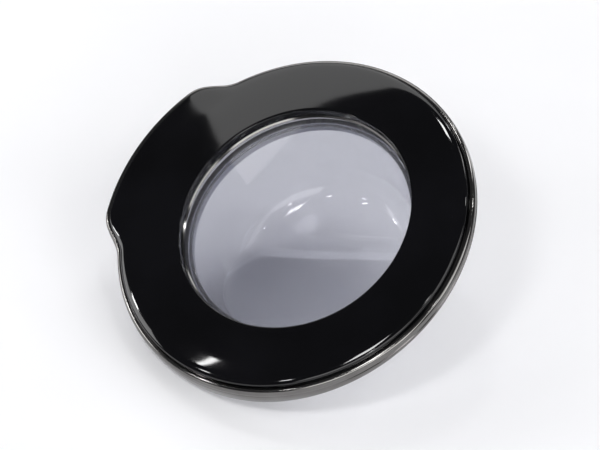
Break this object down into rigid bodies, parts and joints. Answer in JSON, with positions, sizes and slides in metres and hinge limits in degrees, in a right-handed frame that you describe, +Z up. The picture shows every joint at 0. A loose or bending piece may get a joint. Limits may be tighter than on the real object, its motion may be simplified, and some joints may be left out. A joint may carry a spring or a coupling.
{
  "type": "washing machine door",
  "caption": "Round front-loader door with a clear window, a glass bowl, a chrome rim that flares into a grip lip, a side hinge and a sprung latch hook.",
  "frame": {"origin": "centre of the four hinge bolt holes, on the rear face of the hinge plate where it meets the machine's front panel", "axes": "+Z up, the door's front faces -Y, +X to the right seen from the front, from the hinge towards the latch"},
  "size_m": [0.4847, 0.1484, 0.465],
  "materials": {
    "gloss_black": "high gloss",
    "chrome_plate": "polished",
    "clear_pane": "clear",
    "bowl_glass": "clear pressed",
    "carrier_plastic": "fine grain",
    "rear_plastic": "fine grain",
    "grip_plastic": "fine grain",
    "rubber": "matte",
    "zinc_steel": "zinc plated",
    "bush_plastic": "smooth",
    "hook_plastic": "smooth"
  },
  "bodies": {
    "hinge_base": {"hinge_bracket": "zinc_steel", "hinge_pin": "zinc_steel"},
    "door": {"front_cover": "gloss_black", "chrome_ring": "chrome_plate", "window_trim": "chrome_plate", "window_pane": "clear_pane", "carrier_frame": "carrier_plastic", "handle_grip": "grip_plastic", "glass_bowl": "bowl_glass", "bowl_gasket": "rubber", "rear_frame": "rear_plastic", "frame_screws": "zinc_steel", "door_buffers": "rubber", "hinge_leaf": "zinc_steel", "hinge_bush_upper": "bush_plastic", "hinge_bush_lower": "bush_plastic", "leaf_screws": "zinc_steel", "latch_housing": "grip_plastic", "hook_pin": "zinc_steel", "hook_spring": "zinc_steel", "latch_screws": "zinc_steel"},
    "hook": {"latch_hook": "hook_plastic"}
  },
  "joints": [
    {"name": "door_hinge", "type": "hinge", "parent": "hinge_base", "child": "door", "pos_m": [-0.036, -0.018, 0], "axis": [0, 0, -1], "range_deg": [0, 120]},
    {"name": "hook_pivot", "type": "hinge", "parent": "door", "child": "hook", "pos_m": [0.369, -0.02, 0], "axis": [0, 0, 1], "range_deg": [0, 12], "stiffness_Nm_per_rad": 0.6, "springref_deg": -5.73}
  ]
}
